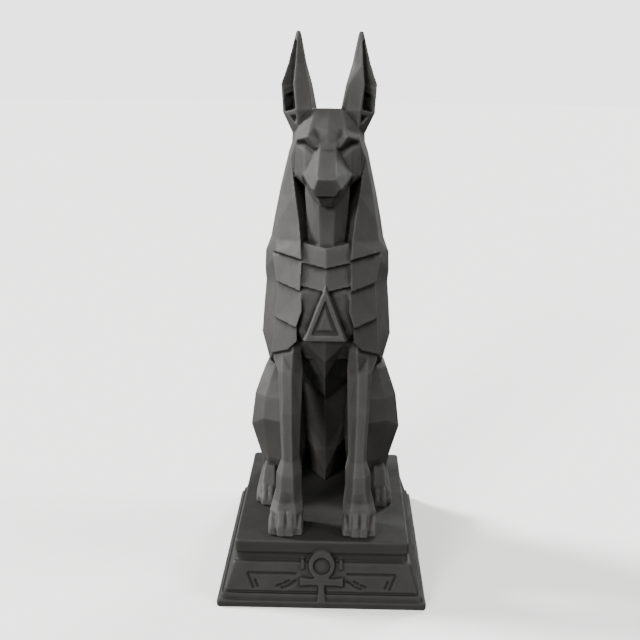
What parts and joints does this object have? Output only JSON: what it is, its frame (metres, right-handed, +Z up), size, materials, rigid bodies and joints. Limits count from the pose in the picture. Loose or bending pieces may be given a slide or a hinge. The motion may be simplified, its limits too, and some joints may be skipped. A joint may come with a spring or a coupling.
{
  "type": "seated jackal statue",
  "caption": "Faceted statue of a seated jackal with tall ears, a plain head cloth, a stepped collar and a pyramid pendant, on a stepped plinth with a winged ankh.",
  "frame": {"origin": "centre of the plinth's underside", "axes": "+Z up, the face, paws and ankh look towards -Y, +X is the viewer's right"},
  "size_m": [0.0932, 0.1292, 0.2502],
  "materials": {
    "figure": "matte charcoal, fine grain",
    "plinth": "matte charcoal, fine grain"
  },
  "bodies": {
    "root": {"jackal_figure": "figure", "plinth": "plinth"}
  },
  "joints": []
}
